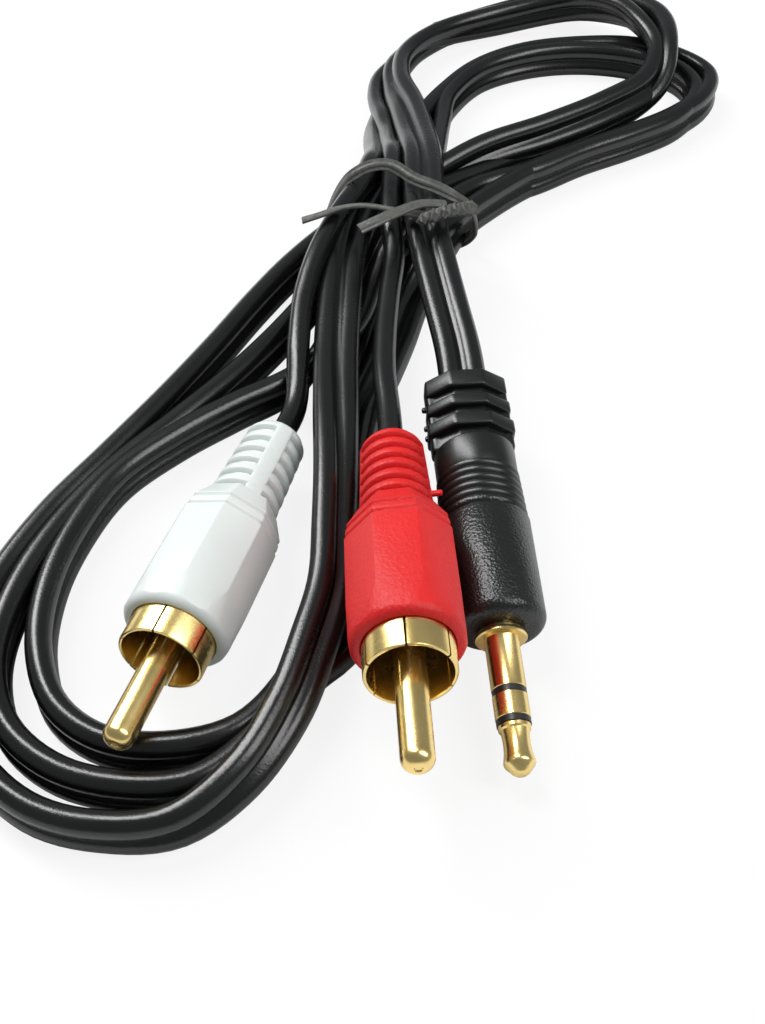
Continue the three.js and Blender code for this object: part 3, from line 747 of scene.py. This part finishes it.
def insulating_band(name, rear, front):
    return spun(name, [
        (ROD_BORE, rear + EASE), (SHAFT - 0.04, rear + EASE), (SHAFT - 0.04, front - EASE),
        (ROD_BORE, front - EASE)], closed=True)


rear_band = insulating_band("jack_rear_insulator", sleeve_front, ring_rear)
ring = spun("jack_ring_contact", [
    (ROD_BORE, ring_rear), (SHAFT - 0.06, ring_rear), (SHAFT, ring_rear + 0.05),
    (SHAFT, ring_front - 0.05), (SHAFT - 0.06, ring_front), (ROD_BORE, ring_front)], closed=True)
front_band = insulating_band("jack_front_insulator", ring_front, tip_start)
tip = spun("jack_tip_contact", [
    (0, -5.9), (0.55, -5.9), (0.55, tip_start), (1.56, tip_start), (1.62, tip_start + 0.06),
    (1.6, tip_start + 0.4), (1.42, tip_start + 0.55), (1.34, tip_start + 1.2), (1.32, tip_start + 1.9),
    (1.36, tip_start + 2.6), (1.48, tip_start + 3.3), (1.55, tip_start + 3.6),
    (1.55, tip_start + 3.85), (1.46, tip_start + 4.05), (0.85, tip_end - 0.25), (0.55, tip_end - 0.05),
    (0.3, tip_end), (0, tip_end)])
core_sleeve = spun("jack_core_sleeve", [
    (ROD_BORE, -5.5), (SLEEVE_BORE - 0.05, -5.5), (SLEEVE_BORE - 0.05, sleeve_front - 0.05),
    (ROD_BORE, sleeve_front - 0.05)], steps=32, closed=True)

for piece, node, slot in (
        (sleeve, "jack_sleeve", "gold_plate"), (rear_band, "jack_rear_band", "dark_nylon"),
        (ring, "jack_ring", "gold_plate"), (front_band, "jack_front_band", "dark_nylon"),
        (tip, "jack_tip", "gold_plate"), (core_sleeve, "jack_core_insulator", "dark_nylon")):
    lay_down(piece, JACK_POSE, node)

# %% [markdown]
# The paths of the cords are worked out once their plugs exist. The twin cable leaves the jack and ends where
# its web is slit. From there each single core runs to its own plug.


path_of(twin_rows)[0]
path_of(twin_rows)
path_of(white_rows)[0]
path_of(white_rows)
path_of(red_rows)[0]
path_of(red_rows)

# %% [markdown]
# The twist tie is a flat plastic ribbon with a wire in its middle. It goes once round the waist of
# the hank, its two ends are twisted together on top, and what is left lies across the cores.
# Ribbon and ends are swept like the cables, with a section that shows the wire as a ridge.

# %% Twist tie
TIE_RING = (
    (-6.9, 143.6, 6.0), (-5.3, 142.4, 10.3), (-3.9, 141.4, 12.6), (-1.6, 141.8, 13.7), (1.0, 141.7, 13.9),
    (4.2, 139.0, 13.6), (7.2, 137.6, 13.2), (9.6, 136.9, 12.2), (11.2, 138.2, 10.2), (12.3, 139.8, 7.0),
    (12.4, 141.2, 3.6), (10.4, 142.0, 1.3), (3.0, 142.6, 1.1), (-4.4, 143.2, 1.3), (-7.4, 143.4, 3.2),
)
TIE_END_1 = (
    (6.6, 131.2, 13.6, 0), (3.4, 132.0, 13.3, -10), (0.6, 133.2, 13.2, -20), (-2.6, 134.0, 13.1, -20),
    (-5.4, 134.0, 12.7, -20), (-8.0, 133.2, 12.2, -15), (-10.2, 132.9, 11.6, -10),
)
TIE_END_2 = (
    (8.0, 133.0, 14.0, 0), (5.0, 132.4, 14.5, 0), (2.2, 130.6, 14.7, 5), (-0.4, 129.0, 14.5, 10),
    (-2.8, 127.8, 14.0, 10),
)
TIE_TWIST = (
    (11.6, 136.8, 10.6), (10.4, 133.6, 12.8), (8.6, 131.7, 14.0), (6.8, 130.5, 14.3), (4.8, 129.5, 14.1),
)
TIE_WIDE = 1.6
TIE_STEP = 0.5
TIE_AXIS = (-0.2, 0.75, 0.6)
TWIST_TURN = 55
TWIST_RADIUS = 0.5


def ribbon_section():
    half = [(TIE_WIDE / 2, 0.05), (TIE_WIDE / 2 - 0.05, 0.14), (0.38, 0.15), (0.26, 0.28), (0, 0.33)]
    top = half + [(-x, y) for x, y in reversed(half[:-1])]
    return top + [(-x, -y) for x, y in top]


def closed_rows(route):
    around = [route[i % len(route)] for i in range(-2, len(route) + 3)]
    rows = spline_rows(around, fine=12, step=TIE_STEP)

    def from_start(i):
        return (rows[i].xyz - Vector(route[0])).length

    first = min(range(len(rows) // 3), key=from_start)
    last = min(range(len(rows) * 2 // 3, len(rows)), key=from_start)
    return rows[first:last + 1]


def ring_roll(rows, axis):
    for row, (wide, thick) in zip(rows, directions(rows)):
        row.w = math.degrees(math.atan2(thick.dot(axis), wide.dot(axis)))
    return rows


def join_to(whole, part):
    only(part)
    whole.select_set(True)
    bpy.context.view_layer.objects.active = whole
    bpy.ops.object.join()


ring_rows = ring_roll(closed_rows(TIE_RING), Vector(TIE_AXIS))
tie = sweep("tie_ribbon", ring_rows, ribbon_section())
for name, route in (("tie_end_long", TIE_END_1), ("tie_end_short", TIE_END_2)):
    join_to(tie, sweep(name, spline_rows(route, step=TIE_STEP), ribbon_section()))

twist_rows = spline_rows(TIE_TWIST, step=TIE_STEP)
for half in (0, 180):
    rows = [row.copy() for row in twist_rows]
    for i, (row, (wide, thick)) in enumerate(zip(rows, directions(twist_rows))):
        turn = math.radians(half + i * TWIST_TURN)
        row.xyz = row.xyz + (wide * math.cos(turn) + thick * math.sin(turn)) * TWIST_RADIUS
        row.w = half + i * TWIST_TURN + 90
    join_to(tie, sweep("strand", rows, ribbon_section()))
smooth(tie, 40)
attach(tie, "root")
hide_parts("twist_tie")
print("twist tie", len(tie.data.polygons), "faces")

# %% [markdown]
# Finishes are painted with nodes, so that each keeps its grain at any distance. Sums of noise are
# easier to read as sums, so a small class lets sockets be added and multiplied in Python.

# %% Shader helpers
class Wire:
    def __init__(self, paint, socket):
        self.paint, self.socket = paint, socket

    def maths(self, operation, other, swapped=False):
        pair = (other, self) if swapped else (self, other)
        return self.paint.node('ShaderNodeMath', {"operation": operation}, {0: pair[0], 1: pair[1]})[0]

    def __add__(self, other):
        return self.maths('ADD', other)

    def __mul__(self, other):
        return self.maths('MULTIPLY', other)

    def __rsub__(self, other):
        return self.maths('SUBTRACT', other, swapped=True)

    __radd__, __rmul__ = __add__, __mul__


class Paint:
    def __init__(self, name, **fixed):
        self.material = bpy.data.materials.new(name)
        self.material.use_nodes = True
        self.tree = self.material.node_tree
        self.shader = self.tree.nodes["Principled BSDF"]
        for key, value in fixed.items():
            self.shader.inputs[key.replace("_", " ").title().replace("Ior", "IOR")].default_value = value

    def node(self, kind, settings=None, sockets=None):
        made = self.tree.nodes.new(kind)
        for key, value in (settings or {}).items():
            setattr(made, key, value)
        for key, value in (sockets or {}).items():
            if isinstance(value, Wire):
                self.tree.links.new(value.socket, made.inputs[key])
            else:
                made.inputs[key].default_value = value
        return [Wire(self, socket) for socket in made.outputs]

    def feed(self, socket, wire):
        self.tree.links.new(wire.socket, self.shader.inputs[socket])

    def place(self):
        return self.node('ShaderNodeTexCoord')[3]

    def noise(self, scale, detail=2, roughness=0.5):
        return self.node('ShaderNodeTexNoise', None, {
            "Vector": self.place(), "Scale": scale, "Detail": detail, "Roughness": roughness})[0]

    def bump(self, height, distance, strength=1.0):
        normal = self.node('ShaderNodeBump', None, {
            "Height": height, "Distance": distance, "Strength": strength})[0]
        self.feed("Normal", normal)

    def mixed(self, mask, dark, light):
        made = self.tree.nodes.new('ShaderNodeMix')
        made.data_type = 'RGBA'
        self.tree.links.new(mask.socket, made.inputs[0])
        made.inputs[6].default_value = dark
        made.inputs[7].default_value = light
        return Wire(self, made.outputs[2])


def wear(material, *names):
    for name in names:
        piece = bpy.data.objects[name]
        piece.data.materials.clear()
        piece.data.materials.append(material)


print("shader helpers ready")

# %% [markdown]
# The cable is glossy black PVC. Extrusion leaves a very fine grain that breaks its highlights up,
# and slight changes of gloss along its length.

# %% Cable finish
cable = Paint("cable_pvc", specular_ior_level=0.5)
patches = cable.noise(140, 3)
grain = cable.noise(3800, 2, 0.6)
cable.feed("Base Color", cable.mixed(patches, (0.0035, 0.0036, 0.0036, 1), (0.007, 0.0072, 0.007, 1)))
cable.feed("Roughness", 0.16 + patches * 0.1 + grain * 0.08)
cable.bump(grain, 0.00003, 0.6)
wear(cable.material, "twin_cable", "white_core", "red_core")
print("cable finish on 3 pieces")

# %% [markdown]
# The red moulding came out of a spark-eroded mould, so its skin is finely pitted and half matt.
# The white one is smoother, with a bluish tinge and a little light passing into it. The jack's
# black barrel has a coarse leathery grain, which ends where its ridges begin.

# %% Moulded finishes
red = Paint("red_moulded_pvc", specular_ior_level=0.38, subsurface_weight=0.05, subsurface_scale=0.0006)
tone = red.noise(220, 2)
pits = red.noise(2600, 2, 0.7)
red.feed("Base Color", red.mixed(tone, (0.55, 0.008, 0.009, 1), (0.66, 0.014, 0.013, 1)))
red.feed("Roughness", 0.38 + pits * 0.22)
red.bump(pits, 0.00012, 0.8)
wear(red.material, "red_plug_body")

white = Paint("white_moulded_pvc", subsurface_weight=0.1, subsurface_scale=0.001)
tone = white.noise(160, 2)
skin = white.noise(900, 2)
white.feed("Base Color", white.mixed(tone, (0.60, 0.65, 0.63, 1), (0.68, 0.72, 0.70, 1)))
white.feed("Roughness", 0.3 + skin * 0.14)
white.bump(skin, 0.00004, 0.5)
wear(white.material, "white_plug_body")

LEATHER_ENDS = bench(*behind(JACK_PLUG, BARREL_LENGTH + 0.4)).y
LEATHER_FADE = 1500
LEAST_LEATHER = 0.06
black = Paint("black_leathery_pvc", specular_ior_level=0.5)
cells = black.node('ShaderNodeTexVoronoi', {"feature": 'SMOOTH_F1'},
                   {"Vector": black.place(), "Scale": 3700, "Smoothness": 0.6})[0]
fine = black.noise(5200, 2)
black.feed("Base Color", black.mixed(fine, (0.0035, 0.0042, 0.004, 1), (0.008, 0.009, 0.0085, 1)))
black.feed("Roughness", 0.26 + fine * 0.14)
along = black.node('ShaderNodeSeparateXYZ', None, {0: black.place()})[1]
leathery = black.node('ShaderNodeClamp', None, {0: (LEATHER_ENDS - along) * LEATHER_FADE})[0]
black.bump((cells + fine * 0.35) * (LEAST_LEATHER + leathery * (1 - LEAST_LEATHER)), 0.00006, 0.8)
wear(black.material, "jack_body")
print("three moulded finishes")

# %% [markdown]
# Contacts and shells are gold over brass, polished but not perfect: a faint brushed unevenness
# and slightly duller patches. The insulators inside the plugs are dark brown, as they look in the
# shells, and the jack's two bands are black. The tie is dark grey and a little worn.

# %% Gold and insulators
gold = Paint("gold_plate", metallic=1.0)
haze = gold.noise(260, 3)
marks = gold.noise(1800, 2)
gold.feed("Base Color", gold.mixed(haze, (0.80, 0.58, 0.20, 1), (0.92, 0.72, 0.32, 1)))
gold.feed("Roughness", 0.17 + haze * 0.12 + marks * 0.06)
gold.bump(marks, 0.00001, 0.4)
wear(gold.material, "red_slotted_shell", "white_slotted_shell", "red_centre_pin", "white_centre_pin",
     "jack_sleeve_contact", "jack_ring_contact", "jack_tip_contact")

nylon = Paint("dark_insulator")
speckle = nylon.noise(1500, 2)
nylon.feed("Base Color", nylon.mixed(speckle, (0.028, 0.010, 0.006, 1), (0.045, 0.018, 0.010, 1)))
nylon.feed("Roughness", 0.45 + speckle * 0.2)
nylon.bump(speckle, 0.00002, 0.5)
wear(nylon.material, "red_pin_holder", "white_pin_holder", "jack_core_sleeve")

band = Paint("black_insulator")
speckle = band.noise(1500, 2)
band.feed("Base Color", band.mixed(speckle, (0.010, 0.010, 0.011, 1), (0.02, 0.02, 0.021, 1)))
band.feed("Roughness", 0.3 + speckle * 0.2)
wear(band.material, "jack_rear_insulator", "jack_front_insulator")

ribbon = Paint("tie_ribbon_pvc")
ribs = ribbon.noise(1700, 2)
ribbon.feed("Base Color", ribbon.mixed(ribs, (0.035, 0.037, 0.032, 1), (0.11, 0.112, 0.10, 1)))
ribbon.feed("Roughness", 0.35 + ribs * 0.25)
ribbon.bump(ribs, 0.00012, 0.8)
wear(ribbon.material, "tie_ribbon")
print("metal, insulators and tie finished")

# %% [markdown]
# The lead lies on a white table in soft light. Seen by the camera the floor is mostly plain white,
# and a share of its shading stays in, so that a faint shadow shows.

# %% Floor and light
FLOOR = 3
PLAIN_SHARE = 0.86
SKY = (0.92, 0.96, 1.0, 1)
SKY_STRENGTH = 0.28

deselect_all()
bpy.ops.mesh.primitive_plane_add(size=FLOOR, location=(0, 0, 0))
floor = bpy.context.object
floor.name = "floor"
table = Paint("white_table", roughness=0.9)
table.shader.inputs["Base Color"].default_value = (0.8, 0.8, 0.8, 1)
seen = table.node('ShaderNodeLightPath')[0]
glow = table.node('ShaderNodeEmission', None, {"Color": (1, 1, 1, 1), "Strength": 1.0})[0]
blend = table.node('ShaderNodeMixShader', None, {
    0: seen * PLAIN_SHARE, 1: Wire(table, table.shader.outputs[0]), 2: glow})[0]
table.tree.links.new(blend.socket, table.tree.nodes["Material Output"].inputs[0])
wear(table.material, "floor")

world = bpy.data.worlds.new("studio")
world.use_nodes = True
world.node_tree.nodes["Background"].inputs[0].default_value = SKY
world.node_tree.nodes["Background"].inputs[1].default_value = SKY_STRENGTH
bpy.context.scene.world = world


def softbox(name, at, size, watts, towards=(0, 0, 0)):
    lamp = bpy.data.lights.new(name, 'AREA')
    lamp.shape = 'RECTANGLE'
    lamp.size, lamp.size_y = size
    lamp.energy = watts
    holder = bpy.data.objects.new(name, lamp)
    holder.location = at
    holder.rotation_euler = (Vector(towards) - Vector(at)).to_track_quat('-Z', 'Y').to_euler()
    bpy.context.collection.objects.link(holder)
    return holder


softbox("key", (-0.26, 0.2, 0.42), (0.14, 0.5), 3.4)
softbox("fill", (0.3, -0.12, 0.42), (0.16, 0.4), 1.5)
bpy.context.scene.view_settings.view_transform = 'Standard'
print("floor, world and two softboxes")
